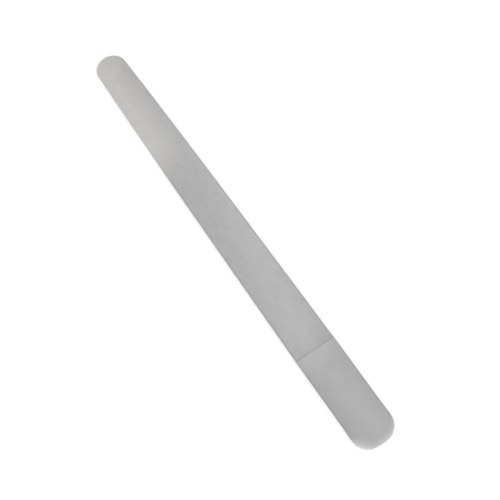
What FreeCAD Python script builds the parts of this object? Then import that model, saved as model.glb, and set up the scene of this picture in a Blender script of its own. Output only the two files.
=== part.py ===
import FreeCAD, Part
import math
import os
import Sketcher

# A flat metal nail file, lying on its back. +Z is up through its thickness, +Y runs along it from the butt
# of the handle to the narrow point, and the origin is under the middle of its length, on the surface that
# it lies on. Handle and blade are one steel blank. Both faces of the blade are ground lower than the
# handle, and each carries a plated nickel bond that holds a layer of diamond grit.

doc = FreeCAD.newDocument("nail_file")

# Driving dimensions, in millimetres. A share is a plain ratio.
DRIVING_SIZES = (
    ("file_length", 180.0, "butt to point"),
    ("handle_length", 40.75, "butt to the shoulder, where the ground blade starts"),
    ("handle_width", 16.42, "across the parallel sides of the handle"),
    ("handle_thickness", 1.8, "full thickness of the steel"),
    ("butt_radius", 18.0, "shallow arc across the butt"),
    ("corner_radius", 6.5, "arc at each corner of the butt"),
    ("flare_depth", 0.15, "how far each corner stands out past the handle's side"),
    ("flare_length", 3.8, "how far along the side the corner's flare turns straight"),
    ("rim_thickness", 1.0, "steel left at the edge of the butt by its bevels"),
    ("bevel_run", 3.5, "how far the bevels reach in from the butt"),
    ("core_thickness", 1.0, "steel left between the ground faces of the blade"),
    ("wheel_radius", 3.0, "corner of the grinding wheel, left as a hollow up to the shoulder"),
    ("ease_length", 5.65, "how far past the shoulder the sides turn into the taper"),
    ("point_length", 31.7, "from the point back to the knee, where the sides taper faster"),
    ("knee_width", 13.69, "across the blade at the knee"),
    ("tip_width", 11.93, "across the corners of the point"),
    ("tip_radius", 6.5, "arc across the point"),
    ("tip_corner_radius", 5.0, "arc at each corner of the point"),
    ("bond_thickness", 0.06, "nickel plated on each face of the blade"),
    ("grit_height", 0.08, "how far the diamond grit stands out of the nickel"),
    ("bond_margin", 0.35, "bare steel between the blade's edge and the nickel"),
    ("grit_margin", 0.15, "bare nickel around the grit"),
    ("mask_gap", 0.1, "bare steel between the foot of the hollow and the nickel"),
    ("cut_overrun", 2.0, "how far each cut runs past the steel"),
    ("cheek_share", 0.35, "where the flare turns inward, as a share of its length"),
    ("straight_share", 0.736, "where the handle's sides begin to ease into the taper, of its length"),
    ("bevel_end_share", 0.34, "how far below its centre a corner loses the bevel, of its radius"),
    ("edge_round_share", 0.3, "rounding of the outer edges, of the blade core's thickness"),
)

sheet = doc.addObject("Spreadsheet::Sheet", "sizes")
for row, (alias, amount, meaning) in enumerate(DRIVING_SIZES, start=1):
    sheet.set(f"A{row}", meaning)
    sheet.set(f"B{row}", str(amount))
    sheet.setAlias(f"B{row}", alias)
doc.recompute()

# Stations along the file, as expressions of the driving dimensions.
BUTT_Y = "-sizes.file_length / 2"
POINT_Y = "sizes.file_length / 2"
PAST_BUTT_Y = f"({BUTT_Y} - sizes.cut_overrun)"
PAST_POINT_Y = f"({POINT_Y} + sizes.cut_overrun)"
STRAIGHT_END_Y = f"({BUTT_Y} + sizes.straight_share * sizes.handle_length)"
SHOULDER_Y = f"({BUTT_Y} + sizes.handle_length)"
TAPER_Y = f"({SHOULDER_Y} + sizes.ease_length)"
KNEE_Y = f"({POINT_Y} - sizes.point_length)"
TIP_CENTRE_Y = f"({POINT_Y} - sizes.tip_radius)"
BUTT_CENTRE_Y = f"({BUTT_Y} + sizes.butt_radius)"

# Half widths.
HALF_HANDLE = "sizes.handle_width / 2"
HALF_CHEEK = f"({HALF_HANDLE} + sizes.flare_depth)"
HALF_KNEE = "sizes.knee_width / 2"
HALF_TIP = "sizes.tip_width / 2"
PAST_SIDE_X = f"({HALF_CHEEK} + sizes.cut_overrun)"

# The corners of the butt touch its arc from within, and lead the sides in over the flare.
CORNER_X = f"({HALF_CHEEK} - sizes.corner_radius)"
CORNER_Y = f"({BUTT_CENTRE_Y} - sqrt((sizes.butt_radius - sizes.corner_radius)^2 - {CORNER_X}^2))"
CHEEK_Y = f"({CORNER_Y} + sizes.cheek_share * sizes.flare_length)"
WAIST_Y = f"({CORNER_Y} + sizes.flare_length)"
BEVEL_END_Y = f"({CORNER_Y} - sizes.bevel_end_share * sizes.corner_radius)"
BELOW_BEVEL_Y = f"({PAST_BUTT_Y} - sizes.bevel_run)"

# The corners of the point touch its arc from within too.
TIP_CORNER_X = f"({HALF_TIP} - sizes.tip_corner_radius)"
TIP_CORNER_RISE = f"sqrt((sizes.tip_radius - sizes.tip_corner_radius)^2 - {TIP_CORNER_X}^2)"
TIP_CORNER_Y = f"({TIP_CENTRE_Y} + {TIP_CORNER_RISE})"

# Heights.
BEVEL_DEPTH = "(sizes.handle_thickness - sizes.rim_thickness) / 2"
GROUND_DEPTH = "(sizes.handle_thickness - sizes.core_thickness) / 2"
FRONT_Z = "sizes.handle_thickness"
FRONT_RIM_Z = f"({FRONT_Z} - {BEVEL_DEPTH})"
FRONT_CORE_Z = f"({FRONT_Z} - {GROUND_DEPTH})"
BACK_Z = "0"
BACK_RIM_Z = f"({BEVEL_DEPTH})"
BACK_CORE_Z = f"({GROUND_DEPTH})"
EDGE_ROUND = "sizes.edge_round_share * sizes.core_thickness"

# The wheel's hollow runs from the shoulder down to its foot, and the coats start past it.
FOOT_Y = f"({SHOULDER_Y} + sqrt(2 * sizes.wheel_radius * {GROUND_DEPTH} - ({GROUND_DEPTH})^2))"
BOND_START_Y = f"({FOOT_Y} + sizes.mask_gap)"
GRIT_START_Y = f"({BOND_START_Y} + sizes.grit_margin)"

# How constraints name the sketch's root point, its upright axis, and the places on a curve.
ROOT = (-1, 1)
UPRIGHT_AXIS = (-2,)
START, END, CENTRE = range(1, 4)

# The side of the file is a smooth curve of this degree through its poles.
SIDE_DEGREE = 2

# A face counts as upright where its normal tips out of level by less than this.
LEVEL_TOLERANCE = 1e-6

QUARTER_TURN = math.pi / 2


def value(text):
    """What an expression comes to now, as a plain number."""
    found = sheet.evalExpression(text)
    return float(getattr(found, "Value", found))


def point(x, y):
    return FreeCAD.Vector(x, y, 0)


def point_at(x, y):
    """The point at two expressions."""
    return point(value(x), value(y))


def polar(centre, radius, angle):
    return centre + point(radius * math.cos(angle), radius * math.sin(angle))


def bearing(centre, place):
    """The angle of a place about a centre, from nought to a full turn."""
    return math.atan2(place.y - centre.y, place.x - centre.x) % math.tau


def origin_plane(body, role):
    return next(item for item in body.Origin.OriginFeatures if item.Role == role)


def new_body(name, label):
    body = doc.addObject("PartDesign::Body", name)
    body.Label = label
    return body


def new_sketch(body, name, role, height=None):
    """A sketch on one of the body's own origin planes, lifted to a height where one is given."""
    sketch = body.newObject("Sketcher::SketchObject", name)
    sketch.AttachmentSupport = [(origin_plane(body, role), "")]
    sketch.MapMode = "FlatFace"
    if height:
        sketch.setExpression("AttachmentOffset.Base.z", height)
    doc.recompute()
    return sketch


def add_line(sketch, start, end):
    return sketch.addGeometry(Part.LineSegment(start, end), False)


def add_arc(sketch, centre, radius, start, end):
    """An arc that turns anticlockwise from one angle to the other."""
    circle = Part.Circle(centre, FreeCAD.Vector(0, 0, 1), radius)
    return sketch.addGeometry(Part.ArcOfCircle(circle, start, end), False)


def relate(sketch, kind, *places):
    sketch.addConstraint(Sketcher.Constraint(kind, *places))


def hold(sketch, kind, places, text):
    """A dimension of the sketch that follows an expression."""
    index = sketch.addConstraint(Sketcher.Constraint(kind, *places, value(text)))
    sketch.setExpression(f"Constraints[{index}]", text)


def join_in_turn(sketch, *curves):
    """Each line starts where the curve before it ends."""
    for before, after in zip(curves, curves[1:]):
        relate(sketch, "Coincident", before, END, after, START)


def add_butt(sketch, corner_end):
    """Right half of the butt: its shallow arc, then the corner's arc up to an angle."""
    butt = point_at("0", BUTT_CENTRE_Y)
    corner = point_at(CORNER_X, CORNER_Y)
    join_angle = math.atan2(corner.y - butt.y, corner.x)
    butt_arc = add_arc(sketch, butt, value("sizes.butt_radius"), -QUARTER_TURN, join_angle)
    corner_arc = add_arc(sketch, corner, value("sizes.corner_radius"), join_angle, corner_end)
    relate(sketch, "Tangent", butt_arc, END, corner_arc, START)
    relate(sketch, "PointOnObject", butt_arc, START, *UPRIGHT_AXIS)
    relate(sketch, "PointOnObject", butt_arc, CENTRE, *UPRIGHT_AXIS)
    hold(sketch, "Radius", (butt_arc,), "sizes.butt_radius")
    hold(sketch, "Radius", (corner_arc,), "sizes.corner_radius")
    hold(sketch, "DistanceY", (*ROOT, butt_arc, START), BUTT_Y)
    return butt_arc, corner_arc


def add_side_and_tip(sketch, inset, start_y=None):
    """The right side of the file and the right half of its point, drawn in by an inset.

    The side leaves the butt's corner upright, flares in, runs parallel, eases into the taper at the
    shoulder, and tapers faster from the knee to the point, whose corner and arc follow. Without a start_y,
    what it joins holds its start.
    """
    tip_radius = f"sizes.tip_radius - {inset}"
    corner_radius = f"sizes.tip_corner_radius - {inset}"
    places = (
        (f"{HALF_CHEEK} - {inset}", start_y),
        (f"{HALF_CHEEK} - {inset}", CHEEK_Y),
        (f"{HALF_HANDLE} - {inset}", WAIST_Y),
        (f"{HALF_HANDLE} - {inset}", STRAIGHT_END_Y),
        (f"{HALF_HANDLE} - {inset}", TAPER_Y),
        (f"{HALF_KNEE} - {inset}", KNEE_Y),
    )
    poles = [point_at(x, y or CORNER_Y) for x, y in places]
    middle = point_at("0", TIP_CENTRE_Y)
    corner = point_at(TIP_CORNER_X, TIP_CORNER_Y)
    radius = value(corner_radius)
    knee = poles[-1]
    meet_angle = bearing(corner, knee) + math.acos(radius / (knee - corner).Length) - math.tau
    join_angle = bearing(middle, corner)
    poles.append(polar(corner, radius, meet_angle))
    spans = len(poles) - SIDE_DEGREE
    repeats = [SIDE_DEGREE + 1, *[1] * (spans - 1), SIDE_DEGREE + 1]
    knots = [step / spans for step in range(spans + 1)]
    curve = Part.BSplineCurve()
    curve.buildFromPolesMultsKnots(poles, repeats, knots, False, SIDE_DEGREE)
    side = sketch.addGeometry(curve, False)
    sketch.exposeInternalGeometry(side)
    corner_arc = add_arc(sketch, corner, radius, meet_angle, join_angle)
    tip_arc = add_arc(sketch, middle, value(tip_radius), join_angle, QUARTER_TURN)
    relate(sketch, "Tangent", side, END, corner_arc, START)
    relate(sketch, "Tangent", corner_arc, END, tip_arc, START)
    relate(sketch, "PointOnObject", tip_arc, CENTRE, *UPRIGHT_AXIS)
    relate(sketch, "PointOnObject", tip_arc, END, *UPRIGHT_AXIS)
    hold(sketch, "Radius", (corner_arc,), corner_radius)
    hold(sketch, "Radius", (tip_arc,), tip_radius)
    hold(sketch, "DistanceX", (*ROOT, corner_arc, CENTRE), TIP_CORNER_X)
    hold(sketch, "DistanceY", (*ROOT, tip_arc, END), f"{POINT_Y} - {inset}")
    for pole, (x, y) in enumerate(places, start=side + 1):
        hold(sketch, "DistanceX", (*ROOT, pole, CENTRE), x)
        if y:
            hold(sketch, "DistanceY", (*ROOT, pole, CENTRE), y)
    return side, tip_arc


def pad(body, name, sketch, height):
    feature = body.newObject("PartDesign::Pad", name)
    feature.Profile = sketch
    feature.setExpression("Length", height)
    doc.recompute()
    return feature


def finish_cut(body, feature, before):
    """Recompute a pocket, and stop if it took nothing away."""
    doc.recompute()
    if feature.Shape.isNull() or feature.Shape.Volume >= before:
        raise RuntimeError(f"{feature.Name} in {body.Label} cuts nothing")
    return feature


def cut_along(body, name, sketch, run, rise, depth):
    """A pocket swept aslant, by a run along the file for each rise, as deep as asked."""
    before = body.Shape.Volume
    feature = body.newObject("PartDesign::Pocket", name)
    feature.Profile = sketch
    feature.UseCustomVector = True
    feature.Direction = FreeCAD.Vector(0, value(run), value(rise))
    feature.setExpression("Direction.y", run)
    feature.setExpression("Direction.z", rise)
    feature.setExpression("Length", depth)
    return finish_cut(body, feature, before)


def cut_across(body, name, sketch):
    """A pocket right across the file, both ways from its middle plane."""
    before = body.Shape.Volume
    feature = body.newObject("PartDesign::Pocket", name)
    feature.Profile = sketch
    feature.Midplane = True
    feature.Type = "ThroughAll"
    return finish_cut(body, feature, before)


def mirror(body, name, originals):
    """The half that was drawn, doubled across the file's middle plane."""
    feature = body.newObject("PartDesign::Mirrored", name)
    feature.Originals = originals
    feature.MirrorPlane = (origin_plane(body, "YZ_Plane"), [""])
    body.Tip = feature
    doc.recompute()


def is_upright(face, place):
    return abs(face.normalAt(*face.Surface.parameter(place)).z) < LEVEL_TOLERANCE


def sharp_wall_edges(shape):
    """The edges where the upright wall round the file meets something that isn't upright there."""
    names = []
    for index, edge in enumerate(shape.Edges, start=1):
        middle = edge.valueAt((edge.FirstParameter + edge.LastParameter) / 2)
        faces = shape.ancestorsOfType(edge, Part.Face)
        if sum(is_upright(face, middle) for face in faces) == 1:
            names.append(f"Edge{index}")
    return names


def round_edges(body, name):
    """Round every sharp edge that the wall round the file has by now."""
    before = body.Tip
    feature = body.newObject("PartDesign::Fillet", name)
    feature.Base = (before, sharp_wall_edges(before.Shape))
    feature.setExpression("Radius", EDGE_ROUND)
    doc.recompute()


# Steel blank: strip cut to the file's outline and rounded at its edges. A wheel grinds down both faces of the
# blade, its corner leaves a hollow up to the handle, and the butt is bevelled on both faces.
blank = new_body("SteelBlank", "steel_blank")


def add_outline(name):
    """The right half of the file's outline, closed along its middle."""
    sketch = new_sketch(blank, name, "XY_Plane")
    butt_arc, corner_arc = add_butt(sketch, 0)
    side, tip = add_side_and_tip(sketch, "0")
    middle = add_line(sketch, point_at("0", POINT_Y), point_at("0", BUTT_Y))
    relate(sketch, "Tangent", corner_arc, END, side, START)
    join_in_turn(sketch, tip, middle, butt_arc)
    doc.recompute()
    return sketch


def add_grinding(name, face, core, above):
    """One ground face of the blade, drawn from the side: the flat, and the hollow up to the shoulder."""
    sketch = new_sketch(blank, f"{name}Profile", "YZ_Plane")
    shoulder = point_at(SHOULDER_Y, face)
    foot = point_at(FOOT_Y, core)
    far = point_at(PAST_POINT_Y, core)
    far_above = point_at(PAST_POINT_Y, above)
    near_above = point_at(SHOULDER_Y, above)
    outward = math.copysign(1, far_above.y - far.y)
    wheel = foot + point(0, outward * value("sizes.wheel_radius"))
    bearings = bearing(wheel, shoulder), bearing(wheel, foot)
    at_shoulder, at_foot = (START, END) if bearings[0] < bearings[1] else (END, START)
    hollow = add_arc(sketch, wheel, value("sizes.wheel_radius"), *sorted(bearings))
    flat = add_line(sketch, foot, far)
    end = add_line(sketch, far, far_above)
    top = add_line(sketch, far_above, near_above)
    wall = add_line(sketch, near_above, shoulder)
    relate(sketch, "Tangent", hollow, at_foot, flat, START)
    relate(sketch, "Coincident", wall, END, hollow, at_shoulder)
    join_in_turn(sketch, flat, end, top, wall)
    for upright in (end, wall):
        relate(sketch, "Vertical", upright)
    for level in (flat, top):
        relate(sketch, "Horizontal", level)
    hold(sketch, "Radius", (hollow,), "sizes.wheel_radius")
    hold(sketch, "DistanceX", (*ROOT, wall, END), SHOULDER_Y)
    hold(sketch, "DistanceY", (*ROOT, wall, END), face)
    hold(sketch, "DistanceX", (*ROOT, flat, END), PAST_POINT_Y)
    hold(sketch, "DistanceY", (*ROOT, flat, END), core)
    hold(sketch, "DistanceY", (*ROOT, top, END), above)
    doc.recompute()
    cut_across(blank, name, sketch)


def add_bevel(name, rim_height, rise):
    """Right half of one bevel of the butt: what lies outside the rim's outline, swept in and out.

    Below each corner's middle the outline leaves the butt on a straight line, so that the bevel narrows
    to nothing as the corner turns into the side.
    """
    sketch = new_sketch(blank, f"{name}Outline", "XY_Plane", rim_height)
    end_angle = -math.asin(value("sizes.bevel_end_share"))
    butt_arc, corner_arc = add_butt(sketch, end_angle)
    leave = polar(point_at(CORNER_X, CORNER_Y), value("sizes.corner_radius"), end_angle)
    past_side = value(PAST_SIDE_X)
    out = point(past_side, leave.y - (past_side - leave.x) / math.tan(end_angle))
    low = point_at(PAST_SIDE_X, BELOW_BEVEL_Y)
    low_middle = point_at("0", BELOW_BEVEL_Y)
    run_out = add_line(sketch, leave, out)
    down = add_line(sketch, out, low)
    back = add_line(sketch, low, low_middle)
    up = add_line(sketch, low_middle, point_at("0", BUTT_Y))
    relate(sketch, "Tangent", corner_arc, END, run_out, START)
    join_in_turn(sketch, run_out, down, back, up, butt_arc)
    for upright in (down, up):
        relate(sketch, "Vertical", upright)
    relate(sketch, "Horizontal", back)
    hold(sketch, "DistanceX", (*ROOT, corner_arc, CENTRE), CORNER_X)
    hold(sketch, "DistanceY", (*ROOT, corner_arc, END), BEVEL_END_Y)
    hold(sketch, "DistanceX", (*ROOT, down, START), PAST_SIDE_X)
    hold(sketch, "DistanceY", (*ROOT, back, START), BELOW_BEVEL_Y)
    doc.recompute()
    return cut_along(blank, name, sketch, "sizes.bevel_run", rise, f"{BEVEL_DEPTH} + sizes.cut_overrun")


strip = pad(blank, "Strip", add_outline("BlankOutline"), "sizes.handle_thickness")
mirror(blank, "WholeStrip", [strip])
round_edges(blank, "StripRounds")
add_grinding("FrontGrinding", FRONT_Z, FRONT_CORE_Z, f"{FRONT_Z} + sizes.cut_overrun")
add_grinding("BackGrinding", BACK_Z, BACK_CORE_Z, f"{BACK_Z} - sizes.cut_overrun")
round_edges(blank, "BladeRounds")
front_bevel = add_bevel("FrontBevel", FRONT_RIM_Z, BEVEL_DEPTH)
back_bevel = add_bevel("BackBevel", BACK_RIM_Z, f"-{BEVEL_DEPTH}")
mirror(blank, "WholeBevels", [front_bevel, back_bevel])
round_edges(blank, "RimRounds")


def add_coat(name, label, inset, start_y, thickness):
    """A flat coat with the blade's outline drawn in by an inset, cut off square at its start."""
    body = new_body(name, label)
    outline = new_sketch(body, f"{name}Outline", "XY_Plane")
    side, tip = add_side_and_tip(outline, inset, CORNER_Y)
    side_start = point_at(f"{HALF_CHEEK} - {inset}", CORNER_Y)
    middle_start = point_at("0", CORNER_Y)
    middle = add_line(outline, point_at("0", f"{POINT_Y} - {inset}"), middle_start)
    across = add_line(outline, middle_start, side_start)
    join_in_turn(outline, tip, middle, across, side)
    relate(outline, "Vertical", middle)
    relate(outline, "Horizontal", across)
    doc.recompute()
    sheet_of_coat = pad(body, f"{name}Sheet", outline, thickness)
    mask = new_sketch(body, f"{name}Mask", "YZ_Plane")
    corners = [
        point_at(y, z)
        for y, z in (
            (PAST_BUTT_Y, "-sizes.cut_overrun"),
            (start_y, "-sizes.cut_overrun"),
            (start_y, "sizes.cut_overrun"),
            (PAST_BUTT_Y, "sizes.cut_overrun"),
        )
    ]
    low, near, high, far = (add_line(mask, a, b) for a, b in zip(corners, corners[1:] + corners[:1]))
    join_in_turn(mask, low, near, high, far, low)
    for level in (low, high):
        relate(mask, "Horizontal", level)
    for upright in (near, far):
        relate(mask, "Vertical", upright)
    hold(mask, "DistanceX", (*ROOT, low, START), PAST_BUTT_Y)
    hold(mask, "DistanceY", (*ROOT, low, START), "-sizes.cut_overrun")
    hold(mask, "DistanceX", (*ROOT, high, START), start_y)
    hold(mask, "DistanceY", (*ROOT, high, START), "sizes.cut_overrun")
    doc.recompute()
    masked = cut_across(body, f"{name}Start", mask)
    mirror(body, f"{name}Whole", [sheet_of_coat, masked])
    return body


def lay_on_front(body, height):
    body.setExpression("Placement.Base.z", height)


def lay_on_back(body, height):
    """Turn a coat over, about the file's length, and hang it under a height."""
    body.Placement.Rotation = FreeCAD.Rotation(FreeCAD.Vector(0, 1, 0), math.degrees(math.pi))
    body.setExpression("Placement.Base.z", height)


# Nickel bond: plated on each ground face of the blade, to just inside its rounded edges.
BOND = ("sizes.bond_margin", BOND_START_Y, "sizes.bond_thickness")
front_bond = add_coat("FrontBond", "front_nickel_bond", *BOND)
back_bond = add_coat("BackBond", "back_nickel_bond", *BOND)
lay_on_front(front_bond, FRONT_CORE_Z)
lay_on_back(back_bond, BACK_CORE_Z)

# Diamond grit: the grains that stand out of each bond, as one layer.
GRIT = ("(sizes.bond_margin + sizes.grit_margin)", GRIT_START_Y, "sizes.grit_height")
front_grit = add_coat("FrontGrit", "front_diamond_grit", *GRIT)
back_grit = add_coat("BackGrit", "back_diamond_grit", *GRIT)
lay_on_front(front_grit, f"{FRONT_CORE_Z} + sizes.bond_thickness")
lay_on_back(back_grit, f"{BACK_CORE_Z} - sizes.bond_thickness")

doc.recompute()
for item in doc.Objects:
    if "Invalid" in item.State or "Error" in item.State:
        raise RuntimeError(f"{item.Name} failed: {item.State}")
    if item.isDerivedFrom("Sketcher::SketchObject") and not item.FullyConstrained:
        raise RuntimeError(f"{item.Name} is not fully held")

os.makedirs("parts", exist_ok=True)
for body in (blank, front_bond, back_bond, front_grit, back_grit):
    shape = body.Shape
    if shape.isNull() or not shape.isValid() or len(shape.Solids) != 1:
        raise RuntimeError(f"{body.Label} is not one valid solid")
    shape.exportStep(f"parts/{body.Label}.step")
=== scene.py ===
import math
import random
from itertools import product

import bmesh
import bpy
from mathutils import Matrix, Vector, noise
from mathutils.bvhtree import BVHTree


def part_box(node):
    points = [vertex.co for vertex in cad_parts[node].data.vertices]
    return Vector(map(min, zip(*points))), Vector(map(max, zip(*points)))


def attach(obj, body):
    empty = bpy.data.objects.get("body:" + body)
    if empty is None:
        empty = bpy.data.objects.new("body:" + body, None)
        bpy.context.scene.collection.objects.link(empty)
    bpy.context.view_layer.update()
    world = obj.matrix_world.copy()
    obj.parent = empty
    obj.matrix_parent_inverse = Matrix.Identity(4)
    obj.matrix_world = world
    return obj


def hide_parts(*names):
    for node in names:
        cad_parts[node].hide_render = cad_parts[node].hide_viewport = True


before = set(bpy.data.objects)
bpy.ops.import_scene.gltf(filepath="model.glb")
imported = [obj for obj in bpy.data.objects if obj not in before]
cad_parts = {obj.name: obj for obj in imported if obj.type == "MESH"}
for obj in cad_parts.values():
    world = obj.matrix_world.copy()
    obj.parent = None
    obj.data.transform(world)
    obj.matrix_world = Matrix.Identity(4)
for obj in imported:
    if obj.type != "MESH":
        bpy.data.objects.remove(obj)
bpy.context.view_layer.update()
MM = 0.001


# Steel blank. Stainless strip, stamped to the outline, bevelled at the butt, hollow ground on both faces of
# the blade and tumbled to a satin. Its colour carries a painted sheen along one leaning streak, painted
# highlights at the handle's two ends, most at one corner of the butt, and painted shade along its stamped
# sides and on the blade by the shoulder. Near the point it is paler and warm, from nail dust and a painted
# highlight.

# Places along the file, half widths at the shoulder, knee and point, and rises from the middle plane.
SHOULDER = -49.25 * MM
KNEE = 58.3 * MM
POINT = 90 * MM
HALF_WIDTHS = (8.21 * MM, 6.85 * MM, 5.95 * MM)
MID_PLANE = 0.9 * MM
FACE_RISE = 0.89 * MM
RIM_RISE = 0.5 * MM
BEVEL_START = -81 * MM
BEVEL_FULL = -83 * MM
BUTT_CORNER = (-8 * MM, -87.5 * MM, MID_PLANE)

# The satin, and the streak of painted sheen on it: its lean, its middle and its reach. Away from the streak
# the satin is painted darker, as shade, towards one tone and by up to a share.
SATIN_TONES = ("#ABABAB", "#B8B8B8")
SATIN_BLUR = (0.32, 0.42)
SATIN_SHEEN_LINE = (-0.12, -7.5 * MM, 11 * MM)
OFF_SHEEN_SHADE_TONE = "#989898"
OFF_SHEEN_SHADE_MOST = 0.35
CLOUD_WIDTH = 4.0 * MM

# A noise texture mostly keeps within these values.
NOISE_BAND = (0.3, 0.7)

# The pits of tumbling, and the wheel's lines, which run along the blade. Real pits are finer, and are drawn
# as coarse as this so that they show.
PIT_WIDTH = 0.25 * MM
LINE_WIDTHS = (0.09 * MM, 3.0 * MM, 0.09 * MM)
RELIEF_DEPTH = 0.004 * MM

# Painted highlights, on the butt's rim, towards the shoulder and at the butt's corner.
PAINTED_HIGHLIGHT_TONE = "#D8D8D8"
RIM_HIGHLIGHT = 0.62
RIM_CRISPNESS = 2.5
BRINK_HIGHLIGHT = 0.18
BRINK_REACH = 8.0 * MM
CORNER_HIGHLIGHT = 0.4
CORNER_REACH = 6.5 * MM

# Painted shade, as the share of its tone that is kept, along the sides and on the blade by the shoulder.
# Then a pale, warm cover near the point, which is nail dust and a painted highlight.
SIDE_SHADE_KEPT = 0.87
SIDE_SHADE_REACH = 0.7 * MM
SHOULDER_SHADE_KEPT = 0.94
SHOULDER_SHADE_REACH = 9.0 * MM
DUST_AND_HIGHLIGHT_TONE = "#F1EEE9"
DUST_AND_HIGHLIGHT_MOST = 0.42
DUST_AND_HIGHLIGHT_START = 30.5 * MM
DUST_AND_HIGHLIGHT_FULL = 50.5 * MM
DUST_AND_HIGHLIGHT_SIDES = (-2.5 * MM, 7.5 * MM)


def linear(code):
    """The linear colour of an sRGB hex code."""
    parts = [int(code[start:start + 2], 16) / 255 for start in (1, 3, 5)]
    return (*(p / 12.92 if p <= 0.04045 else ((p + 0.055) / 1.055) ** 2.4 for p in parts), 1.0)


def per_metre(width):
    """The scale of a texture whose features are this wide."""
    return 1 / width


def add_node(tree, kind, settings):
    """A node with its properties and its sockets' values, where a value that is a socket is linked.

    Sockets that share a name go by number. A Mix node's are 0 for the share, 2 and 3 for numbers, and
    6 and 7 for colours.
    """
    node = tree.nodes.new(kind)
    for name, amount in settings.items():
        if isinstance(amount, bpy.types.NodeSocket):
            tree.links.new(amount, node.inputs[name])
        elif isinstance(name, int) or name in node.inputs:
            node.inputs[name].default_value = amount
        else:
            setattr(node, name, amount)
    return node


def new_material(name):
    """A material with one Principled shader, its node tree, and the object's own coordinates."""
    material = bpy.data.materials.new(name)
    material.use_nodes = True
    tree = material.node_tree
    tree.nodes.clear()
    shader = add_node(tree, "ShaderNodeBsdfPrincipled", {})
    add_node(tree, "ShaderNodeOutputMaterial", {"Surface": shader.outputs["BSDF"]})
    place = add_node(tree, "ShaderNodeTexCoord", {}).outputs["Object"]
    return material, tree, shader.inputs, place


def dress(piece, material):
    """Give every slot of a piece the same material."""
    if not piece.material_slots:
        piece.data.materials.append(material)
    for place in piece.material_slots:
        place.material = material


def distance(tree, coordinate, middle):
    """How far a coordinate is from a middle value, on either side."""
    off = add_node(tree, "ShaderNodeMath", {"operation": "SUBTRACT", 0: coordinate, 1: middle})
    return add_node(tree, "ShaderNodeMath", {"operation": "ABSOLUTE", 0: off.outputs[0]}).outputs[0]


def butt_share(tree, y, most):
    """A share that grows over the start of the butt's bevel, from nothing to its most."""
    return add_node(tree, "ShaderNodeMapRange", {
        "Value": y, "From Min": BEVEL_START, "From Max": BEVEL_FULL, "To Max": most}).outputs[0]


def side_shade_kept(tree, x, y):
    """Painted shade along the sides, as the share of tone a spot keeps, but none on the butt's bevel."""
    broad, mid, narrow = HALF_WIDTHS
    to_knee = add_node(tree, "ShaderNodeMapRange", {
        "Value": y, "From Min": SHOULDER, "From Max": KNEE, "To Min": broad, "To Max": mid})
    past_knee = add_node(tree, "ShaderNodeMapRange", {
        "Value": y, "From Min": KNEE, "From Max": POINT, "To Min": 0.0, "To Max": mid - narrow})
    half = add_node(tree, "ShaderNodeMath", {
        "operation": "SUBTRACT", 0: to_knee.outputs[0], 1: past_knee.outputs[0]})
    out = add_node(tree, "ShaderNodeMath", {"operation": "ABSOLUTE", 0: x})
    inset = add_node(tree, "ShaderNodeMath", {
        "operation": "SUBTRACT", 0: half.outputs[0], 1: out.outputs[0]})
    dull = add_node(tree, "ShaderNodeMapRange", {
        "Value": inset.outputs[0], "From Min": 0.0, "From Max": SIDE_SHADE_REACH,
        "To Min": SIDE_SHADE_KEPT, "To Max": 1.0})
    return add_node(tree, "ShaderNodeMath", {
        "operation": "MAXIMUM", 0: dull.outputs[0], 1: butt_share(tree, y, 1.0)}).outputs[0]


def shoulder_shade_kept(tree, y):
    """Painted shade on the blade by the shoulder, as the share of tone a spot keeps, and none on the handle.
    """
    shoulder_shaded = add_node(tree, "ShaderNodeMapRange", {
        "Value": y, "From Min": SHOULDER, "From Max": SHOULDER + SHOULDER_SHADE_REACH,
        "To Min": SHOULDER_SHADE_KEPT, "To Max": 1.0})
    handle = add_node(tree, "ShaderNodeMath", {"operation": "LESS_THAN", 0: y, 1: SHOULDER})
    return add_node(tree, "ShaderNodeMath", {
        "operation": "MAXIMUM", 0: shoulder_shaded.outputs[0], 1: handle.outputs[0]}).outputs[0]


def painted_shade_kept(tree, place):
    """The share of its tone that a spot keeps under painted shade, by the sides and the shoulder together.
    """
    x, y, _ = add_node(tree, "ShaderNodeSeparateXYZ", {"Vector": place}).outputs
    return add_node(tree, "ShaderNodeMath", {
        "operation": "MULTIPLY", 0: side_shade_kept(tree, x, y), 1: shoulder_shade_kept(tree, y)}).outputs[0]


def dusted_and_highlit(tree, place, colour):
    """A colour under pale, warm nail dust and painted highlight, thickest on one side of the point."""
    x, y, _ = add_node(tree, "ShaderNodeSeparateXYZ", {"Vector": place}).outputs
    most = add_node(tree, "ShaderNodeMapRange", {
        "Value": x, "From Min": DUST_AND_HIGHLIGHT_SIDES[0], "From Max": DUST_AND_HIGHLIGHT_SIDES[1],
        "To Min": DUST_AND_HIGHLIGHT_MOST, "To Max": 0.0})
    share = add_node(tree, "ShaderNodeMapRange", {
        "interpolation_type": "SMOOTHSTEP", "Value": y,
        "From Min": DUST_AND_HIGHLIGHT_START, "From Max": DUST_AND_HIGHLIGHT_FULL, "To Max": most.outputs[0]})
    dusty_highlit = add_node(tree, "ShaderNodeMix", {
        "data_type": "RGBA", 0: share.outputs[0], 6: colour, 7: linear(DUST_AND_HIGHLIGHT_TONE)})
    return dusty_highlit.outputs[2]


def streak(tree, place, line, near, far):
    """A value that is near on a line that leans across the file, and far at the line's reach from it."""
    lean, middle, reach = line
    x, y, _ = add_node(tree, "ShaderNodeSeparateXYZ", {"Vector": place}).outputs
    aslant = add_node(tree, "ShaderNodeMath", {"operation": "MULTIPLY_ADD", 0: y, 1: -lean, 2: x})
    return add_node(tree, "ShaderNodeMapRange", {
        "interpolation_type": "SMOOTHSTEP", "Value": distance(tree, aslant.outputs[0], middle),
        "From Min": 0.0, "From Max": reach, "To Min": near, "To Max": far}).outputs[0]


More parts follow.
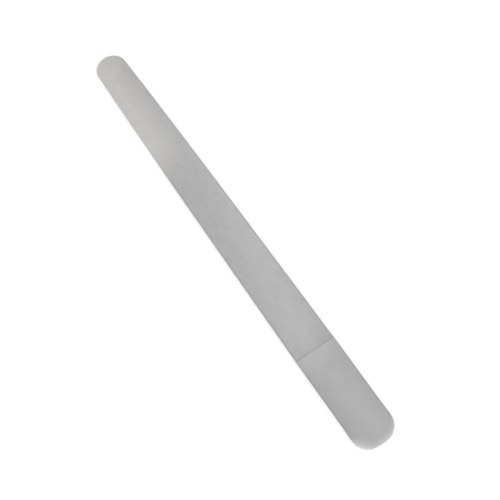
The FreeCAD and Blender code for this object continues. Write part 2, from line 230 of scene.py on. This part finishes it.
def satin_tone(tree, place):
    """The tumbled satin, clouded over millimetres: painted sheen on its streak, and painted shade off it."""
    clouds = add_node(tree, "ShaderNodeTexNoise", {
        "Vector": place, "Scale": per_metre(CLOUD_WIDTH), "Detail": 3.0, "Roughness": 0.6})
    clouded = add_node(tree, "ShaderNodeMix", {
        "data_type": "RGBA", 0: clouds.outputs["Fac"], 6: linear(SATIN_TONES[0]), 7: linear(SATIN_TONES[1])})
    satin = add_node(tree, "ShaderNodeMix", {
        "data_type": "RGBA", 0: streak(tree, place, SATIN_SHEEN_LINE, 0.0, OFF_SHEEN_SHADE_MOST),
        6: clouded.outputs[2], 7: linear(OFF_SHEEN_SHADE_TONE)})
    return satin.outputs[2]


def painted_highlight_share(tree, place):
    """Painted highlight's share: on the butt's rim, towards the shoulder and past it, and at a corner."""
    _, y, z = add_node(tree, "ShaderNodeSeparateXYZ", {"Vector": place}).outputs
    lowered = add_node(tree, "ShaderNodeMapRange", {
        "Value": distance(tree, z, MID_PLANE), "From Min": FACE_RISE, "From Max": RIM_RISE})
    crisp = add_node(tree, "ShaderNodeMath", {"operation": "POWER", 0: lowered.outputs[0], 1: RIM_CRISPNESS})
    rim = add_node(tree, "ShaderNodeMath", {
        "operation": "MULTIPLY", 0: crisp.outputs[0], 1: butt_share(tree, y, RIM_HIGHLIGHT)})
    brink = add_node(tree, "ShaderNodeMapRange", {
        "Value": y, "From Min": SHOULDER - BRINK_REACH, "From Max": SHOULDER, "To Max": BRINK_HIGHLIGHT})
    ends = add_node(tree, "ShaderNodeMath", {"operation": "MAXIMUM", 0: rim.outputs[0], 1: brink.outputs[0]})
    from_corner = add_node(tree, "ShaderNodeVectorMath", {"operation": "DISTANCE", 0: place, 1: BUTT_CORNER})
    corner = add_node(tree, "ShaderNodeMapRange", {
        "interpolation_type": "SMOOTHSTEP", "Value": from_corner.outputs["Value"],
        "From Min": 0.0, "From Max": CORNER_REACH, "To Min": CORNER_HIGHLIGHT, "To Max": 0.0})
    return add_node(tree, "ShaderNodeMath", {
        "operation": "ADD", 0: ends.outputs[0], 1: corner.outputs[0]}).outputs[0]


def tumbled_stainless():
    """Stainless steel: softly blurred metal, with tumbled pits on the handle and ground lines beyond."""
    material, tree, shader, place = new_material("tumbled_stainless_steel")
    y = add_node(tree, "ShaderNodeSeparateXYZ", {"Vector": place}).outputs["Y"]

    pits = add_node(tree, "ShaderNodeTexNoise", {
        "Vector": place, "Scale": per_metre(PIT_WIDTH), "Detail": 4.0, "Roughness": 0.6})
    along = add_node(tree, "ShaderNodeMapping", {
        "Vector": place, "Scale": [per_metre(width) for width in LINE_WIDTHS]})
    lines = add_node(tree, "ShaderNodeTexNoise", {"Vector": along.outputs[0], "Scale": 1.0, "Detail": 3.0})
    ground = add_node(tree, "ShaderNodeMath", {"operation": "GREATER_THAN", 0: y, 1: SHOULDER})
    relief = add_node(tree, "ShaderNodeMix", {
        "data_type": "FLOAT", 0: ground.outputs[0], 2: pits.outputs["Fac"], 3: lines.outputs["Fac"]})
    blur = add_node(tree, "ShaderNodeMapRange", {
        "Value": relief.outputs[0], "From Min": NOISE_BAND[0], "From Max": NOISE_BAND[1],
        "To Min": SATIN_BLUR[0], "To Max": SATIN_BLUR[1]})
    bump = add_node(tree, "ShaderNodeBump", {
        "Height": relief.outputs[0], "Strength": 0.25, "Distance": RELIEF_DEPTH})

    # Painted highlights; then nail dust and a painted highlight near the point; then painted shade.
    bright = add_node(tree, "ShaderNodeMix", {
        "data_type": "RGBA", 0: painted_highlight_share(tree, place), 6: satin_tone(tree, place), 7: linear(PAINTED_HIGHLIGHT_TONE)})
    tone = add_node(tree, "ShaderNodeMix", {
        "data_type": "RGBA", "blend_type": "MULTIPLY",
        0: 1.0, 6: dusted_and_highlit(tree, place, bright.outputs[2]), 7: painted_shade_kept(tree, place)})

    shader["Metallic"].default_value = 1.0
    tree.links.new(tone.outputs[2], shader["Base Color"])
    tree.links.new(blur.outputs[0], shader["Roughness"])
    tree.links.new(bump.outputs["Normal"], shader["Normal"])
    return material


dress(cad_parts["steel_blank"], tumbled_stainless())


# Nickel bonds. Nickel is plated on each ground face of the blade, and holds the grains by their roots. It is
# a matte grey, with a painted sheen along one long streak that leans across the blade, and painted shade
# away from it.

NICKEL_TONES = ("#CBCBCB", "#B0B0B0")
# The painted sheen: its lean, its middle and its reach, and the share of tone kept away from it, as shade.
BLADE_SHEEN_LINE = (0.162, 5.65 * MM, 11.6 * MM)
OFF_SHEEN_KEPT = 0.918
COAT_CLOUD_WIDTH = 2.6 * MM
COAT_KEPT = (0.93, 1.0)

# Real nodules of plating are finer, and are drawn as coarse as this so that they show from close by.
NODULE_WIDTH = 0.12 * MM
NODULE_RISE = 0.02 * MM


def weathered_with_painted_light(tree, place, colour):
    """A coat's colour, clouded, with painted sheen and shade, and nail dust with painted highlight."""
    clouds = add_node(tree, "ShaderNodeTexNoise", {
        "Vector": place, "Scale": per_metre(COAT_CLOUD_WIDTH), "Detail": 3.0, "Roughness": 0.6})
    uneven = add_node(tree, "ShaderNodeMapRange", {
        "Value": clouds.outputs["Fac"], "From Min": NOISE_BAND[0], "From Max": NOISE_BAND[1],
        "To Min": COAT_KEPT[0], "To Max": COAT_KEPT[1]})
    sheened = add_node(tree, "ShaderNodeMath", {
        "operation": "MULTIPLY",
        0: uneven.outputs[0], 1: streak(tree, place, BLADE_SHEEN_LINE, 1.0, OFF_SHEEN_KEPT)})
    kept = add_node(tree, "ShaderNodeMath", {
        "operation": "MULTIPLY", 0: sheened.outputs[0], 1: painted_shade_kept(tree, place)})
    tone = add_node(tree, "ShaderNodeMix", {
        "data_type": "RGBA", "blend_type": "MULTIPLY",
        0: 1.0, 6: dusted_and_highlit(tree, place, colour), 7: kept.outputs[0]})
    return tone.outputs[2]


def plated_nickel():
    """Electroplated nickel: metallic and dull, with the small nodules that plating leaves."""
    material, tree, shader, place = new_material("electroplated_nickel")
    nodules = add_node(tree, "ShaderNodeTexVoronoi", {
        "Vector": place, "Scale": per_metre(NODULE_WIDTH), "feature": "SMOOTH_F1", "Smoothness": 0.6})
    # Darker towards the nodules' edges: painted shade in the hollows between them.
    tone = add_node(tree, "ShaderNodeMix", {
        "data_type": "RGBA", 0: nodules.outputs["Distance"],
        6: linear(NICKEL_TONES[0]), 7: linear(NICKEL_TONES[1])})
    bump = add_node(tree, "ShaderNodeBump", {
        "Height": nodules.outputs["Distance"], "Strength": 0.6, "Distance": NODULE_RISE, "invert": True})
    shader["Metallic"].default_value = 1.0
    shader["Roughness"].default_value = 0.5
    tree.links.new(weathered_with_painted_light(tree, place, tone.outputs[2]), shader["Base Color"])
    tree.links.new(bump.outputs["Normal"], shader["Normal"])
    return material


nickel = plated_nickel()
for node in ("front_nickel_bond", "back_nickel_bond"):
    dress(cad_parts[node], nickel)


# Diamond grit. Blocky synthetic diamond grains, about 0.2 mm across, tacked down by the nickel in one
# crowded layer. Each is a short truncated crystal that leans a little, and they crowd and thin out over a
# millimetre.

GRAIN_TONES = ("#D0D0D0", "#DCDCDC")
GRAIN_RADII = (0.075 * MM, 0.13 * MM)
GRAIN_SIDES = (4, 5, 5, 6)
GRAIN_TAPER = (0.45, 0.8)
GRAIN_LEAN = math.radians(12)
GRAIN_ROOT = 0.03 * MM

# Heights are shares of the layer's own, and leave room in it for a grain's lean.
GRAIN_HEIGHTS = (0.4, 0.7)
TALLEST = 0.75

# Grains stand in staggered rows, out of place by up to a share of their pitch, and a few spots are bare.
GRAIN_PITCH = 0.25 * MM
ROW_PITCH = GRAIN_PITCH * math.sqrt(3) / 2
GRAIN_JITTER = 0.3
GRAIN_SHARE = 0.93

# Where they crowd, more spots hold a grain, and the grains stand higher.
CROWD_SIZE = 1.1 * MM
CROWD_SHARE = 0.25
CROWD_LIFT = 0.15

# The nickel ends on a grain at this rise from the middle plane, over a narrow band.
PLATED_RISE = 0.585 * MM
PLATED_BAND = 0.01 * MM
FOOT_METALLIC = 0.8
CROWN_METALLIC = 0.1

# An operator slows down as its mesh grows, so grains are made in narrow strips.
STRIP_ROWS = 3
GRIT_PARTS = 4


def nickel_bonded_diamond():
    """Diamond grains: pale crowns over feet that the nickel has crept up, in clusters of uneven tone."""
    material, tree, shader, place = new_material("nickel_bonded_diamond")
    grain = add_node(tree, "ShaderNodeAttribute", {"attribute_name": "grain_tone"})
    crystal = add_node(tree, "ShaderNodeMix", {
        "data_type": "RGBA", 0: grain.outputs["Fac"], 6: linear(GRAIN_TONES[0]), 7: linear(GRAIN_TONES[1])})
    z = add_node(tree, "ShaderNodeSeparateXYZ", {"Vector": place}).outputs["Z"]
    plated = add_node(tree, "ShaderNodeMapRange", {
        "Value": distance(tree, z, MID_PLANE),
        "From Min": PLATED_RISE - PLATED_BAND, "From Max": PLATED_RISE + PLATED_BAND,
        "To Min": FOOT_METALLIC, "To Max": CROWN_METALLIC})

    tree.links.new(weathered_with_painted_light(tree, place, crystal.outputs[2]), shader["Base Color"])
    tree.links.new(plated.outputs[0], shader["Metallic"])
    shader["Roughness"].default_value = 0.35
    return material


def add_grain(patch, spot, height, face, chance):
    """One crystal that stands on its spot of nickel, with its root sunk in it."""
    radius = chance.uniform(*GRAIN_RADII)
    turn = Matrix.Rotation(chance.uniform(0, math.tau), 4, "Z")
    lean = Matrix.Rotation(chance.uniform(0, GRAIN_LEAN), 4, "X")
    rise = Matrix.Translation((0, 0, (height - GRAIN_ROOT) / 2))
    grain = bmesh.ops.create_cone(
        patch, cap_ends=True, cap_tris=False, segments=chance.choice(GRAIN_SIDES),
        radius1=radius, radius2=radius * chance.uniform(*GRAIN_TAPER), depth=height + GRAIN_ROOT,
        matrix=Matrix.Translation(spot) @ face @ rise @ turn @ lean)
    tone = chance.random()
    layer = patch.verts.layers.float["grain_tone"]
    for corner in grain["verts"]:
        corner[layer] = tone


def grain_place(row, column, corner, chance):
    """Where a grain of this row and column lies, counted from a corner of its layer."""
    x = corner[0] + (column + row % 2 / 2 + chance.uniform(-1, 1) * GRAIN_JITTER) * GRAIN_PITCH
    y = corner[1] + (row + 0.5) * ROW_PITCH + chance.uniform(-1, 1) * GRAIN_JITTER * GRAIN_PITCH
    return x, y


def covers(surface, x, y):
    """Whether a coat reaches under the whole width of a grain at this place, by rays from a metre up."""
    width = GRAIN_RADII[1]
    edges = ((x - width, y), (x + width, y), (x, y - width), (x, y + width))
    return all(surface.ray_cast(Vector((*edge, 1)), Vector((0, 0, -1)))[0] for edge in edges)


def move_into(field, strip):
    """Add a finished strip of grains to the field."""
    strip_mesh = bpy.data.meshes.new("strip")
    strip.to_mesh(strip_mesh)
    strip.free()
    field.from_mesh(strip_mesh)
    bpy.data.meshes.remove(strip_mesh)


def lay_grit(field, node, part, material):
    """Make one piece of grit from a finished field, in place of the plain layer."""
    mesh = bpy.data.meshes.new(f"{node}_{part}")
    field.to_mesh(mesh)
    field.free()
    piece = bpy.data.objects.new(mesh.name, mesh)
    bpy.context.scene.collection.objects.link(piece)
    dress(piece, material)
    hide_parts(node)
    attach(piece, "root")


def sow_grit(node, face, material, seed):
    """Cover one face's coat with grains, in a few pieces from the shoulder to the point."""
    surface = BVHTree.FromObject(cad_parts[node], bpy.context.evaluated_depsgraph_get())
    low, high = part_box(node)
    reach = high[2] - low[2]
    foot = low[2] if face.to_3x3().col[2].z > 0 else high[2]
    chance = random.Random(seed)
    rows = int((high[1] - low[1]) / ROW_PITCH)
    columns = int((high[0] - low[0]) / GRAIN_PITCH) + 1
    span = math.ceil(rows / GRIT_PARTS)
    for part in range(GRIT_PARTS):
        field = bmesh.new()
        last = min(rows, (part + 1) * span)
        for first in range(part * span, last, STRIP_ROWS):
            strip = bmesh.new()
            strip.verts.layers.float.new("grain_tone")
            for row, column in product(range(first, min(last, first + STRIP_ROWS)), range(columns)):
                x, y = grain_place(row, column, low, chance)
                crowd = noise.noise(Vector((x, y, seed * MM)) / CROWD_SIZE)
                if chance.random() < GRAIN_SHARE + CROWD_SHARE * crowd and covers(surface, x, y):
                    height = reach * min(TALLEST, chance.uniform(*GRAIN_HEIGHTS) + CROWD_LIFT * crowd)
                    add_grain(strip, Vector((x, y, foot)), height, face, chance)
            move_into(field, strip)
        lay_grit(field, node, part + 1, material)


diamond = nickel_bonded_diamond()
sow_grit("front_diamond_grit", Matrix.Identity(4), diamond, seed=11)
sow_grit("back_diamond_grit", Matrix.Rotation(math.pi, 4, "X"), diamond, seed=23)


# Floor. A wide white table of card that the file lies on. It shows to the camera as white, and it keeps the
# file's shadow.

CARD_TONES = ("#F0F0F0", "#F2F2F2")
CARD_GLOW = 0.3
FIBRE_WIDTH = 2.0 * MM


def white_card():
    """White card, which glows a little to the camera and in mirrors, so that it reads as white."""
    material, tree, shader, place = new_material("white_card")
    fibre = add_node(tree, "ShaderNodeTexNoise", {
        "Vector": place, "Scale": per_metre(FIBRE_WIDTH), "Detail": 3.0})
    tone = add_node(tree, "ShaderNodeMix", {
        "data_type": "RGBA", 0: fibre.outputs["Fac"], 6: linear(CARD_TONES[0]), 7: linear(CARD_TONES[1])})
    ray = add_node(tree, "ShaderNodeLightPath", {}).outputs
    seen = add_node(tree, "ShaderNodeMath", {
        "operation": "MAXIMUM", 0: ray["Is Camera Ray"], 1: ray["Is Glossy Ray"]})
    glow = add_node(tree, "ShaderNodeMath", {"operation": "MULTIPLY", 0: seen.outputs[0], 1: CARD_GLOW})
    shader["Roughness"].default_value = 0.9
    shader["Emission Color"].default_value = (1, 1, 1, 1)
    tree.links.new(tone.outputs[2], shader["Base Color"])
    tree.links.new(glow.outputs[0], shader["Emission Strength"])
    return material


table = bmesh.new()
bmesh.ops.create_grid(table, x_segments=1, y_segments=1, size=3.0)
table_mesh = bpy.data.meshes.new("floor")
table.to_mesh(table_mesh)
table.free()
floor = bpy.data.objects.new("floor", table_mesh)
bpy.context.scene.collection.objects.link(floor)
dress(floor, white_card())


# Light. A pale room under a wide ceiling of soft light, with one weak panel beyond the butt.

ROOM_LIGHT = 0.8
ROOM_SEEN = 1.0


def pale_room():
    """The room: white to the camera, and a little greyer as light."""
    world = bpy.data.worlds.new("pale_room")
    world.use_nodes = True
    tree = world.node_tree
    tree.nodes.clear()
    seen = add_node(tree, "ShaderNodeLightPath", {}).outputs["Is Camera Ray"]
    level = add_node(tree, "ShaderNodeMix", {"data_type": "FLOAT", 0: seen, 2: ROOM_LIGHT, 3: ROOM_SEEN})
    light = add_node(tree, "ShaderNodeBackground", {"Color": (1, 1, 1, 1), "Strength": level.outputs[0]})
    add_node(tree, "ShaderNodeOutputWorld", {"Surface": light.outputs[0]})
    return world


def add_panel(name, place, size, watts):
    """A square soft light that faces the file."""
    lamp = bpy.data.lights.new(name, "AREA")
    lamp.shape = "SQUARE"
    lamp.size = size
    lamp.energy = watts
    panel = bpy.data.objects.new(name, lamp)
    panel.location = place
    panel.rotation_mode = "QUATERNION"
    panel.rotation_quaternion = (-Vector(place)).to_track_quat("-Z", "Y")
    bpy.context.scene.collection.objects.link(panel)


bpy.context.scene.world = pale_room()
add_panel("ceiling_panel", place=(0, 0, 1.5), size=3.0, watts=6.2)
add_panel("butt_panel", place=(-0.5, -0.8, 1.25), size=1.1, watts=0.9)


# Camera. A long lens above the butt's left side, as in the photograph.

CAMERA_AIM = Vector((2.18, -5.07, 0.9)) * MM
CAMERA_DISTANCE = 507.4 * MM
CAMERA_AZIMUTH = math.radians(-34.59)
CAMERA_ELEVATION = math.radians(72.0)

camera_data = bpy.data.cameras.new("camera")
camera_data.lens = 100
camera_data.sensor_width = 36
camera_data.clip_start = 0.01
camera = bpy.data.objects.new("camera", camera_data)
away = Vector((
    math.sin(CAMERA_AZIMUTH) * math.cos(CAMERA_ELEVATION),
    -math.cos(CAMERA_AZIMUTH) * math.cos(CAMERA_ELEVATION),
    math.sin(CAMERA_ELEVATION)))
camera.location = CAMERA_AIM + away * CAMERA_DISTANCE
camera.rotation_mode = "QUATERNION"
camera.rotation_quaternion = (-away).to_track_quat("-Z", "Y")
bpy.context.scene.collection.objects.link(camera)
bpy.context.scene.camera = camera
bpy.context.scene.view_settings.view_transform = "Standard"
